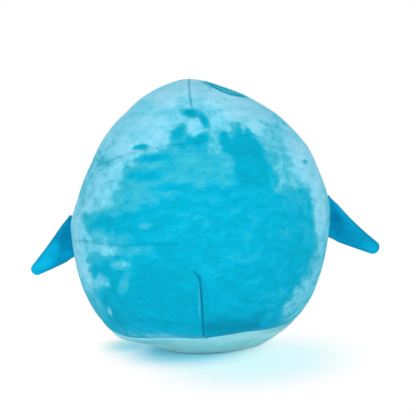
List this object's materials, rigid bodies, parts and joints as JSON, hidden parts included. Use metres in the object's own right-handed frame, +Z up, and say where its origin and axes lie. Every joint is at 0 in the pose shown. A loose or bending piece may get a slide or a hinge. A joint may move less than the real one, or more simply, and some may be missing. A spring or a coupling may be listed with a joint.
{
  "type": "plush shark",
  "caption": "Round egg-shaped plush shark that sits on a flat base, sewn from blue and pale fabric panels over loose filling, with a small stuffed fin at each side that bends at its seam.",
  "frame": {"origin": "middle of the bottom of the toy's bounding box, on the flat base that it sits on", "axes": "+Z up; -Y the way the face looks; +X the toy's left side, across the two fins"},
  "size_m": [0.3838, 0.2415, 0.2991],
  "materials": {
    "body_plush": "matte",
    "fin_plush": "matte",
    "belly_plush": "matte",
    "seam_thread": "matte",
    "filling": "matte",
    "embroidery": "satin"
  },
  "bodies": {
    "body": {"body_filling": "filling", "back_panel": "body_plush", "face_panel": "body_plush", "belly_panel": "belly_plush", "main_seam_thread": "seam_thread", "belly_seam_thread": "seam_thread", "closing_thread": "seam_thread", "crown_dart_thread": "seam_thread", "base_dart_thread": "seam_thread", "left_eye": "embroidery", "right_eye": "embroidery", "mouth_line": "embroidery", "left_fin_root_tab": "fin_plush", "right_fin_root_tab": "fin_plush"},
    "left_fin": {"left_fin_back_panel": "fin_plush", "left_fin_front_panel": "fin_plush", "left_fin_filling": "filling", "left_fin_edge_thread": "seam_thread"},
    "right_fin": {"right_fin_back_panel": "fin_plush", "right_fin_front_panel": "fin_plush", "right_fin_filling": "filling", "right_fin_edge_thread": "seam_thread"}
  },
  "joints": [
    {"name": "left_fin_hinge", "type": "hinge", "parent": "body", "child": "left_fin", "pos_m": [0.14411, -0.00754, 0.13713], "axis": [0.0126, -0.0042, 0.9999], "range_deg": [-60, 60], "stiffness_Nm_per_rad": 0.02},
    {"name": "right_fin_hinge", "type": "hinge", "parent": "body", "child": "right_fin", "pos_m": [-0.14411, -0.00754, 0.13713], "axis": [0.0126, 0.0042, -0.9999], "range_deg": [-60, 60], "stiffness_Nm_per_rad": 0.02}
  ]
}
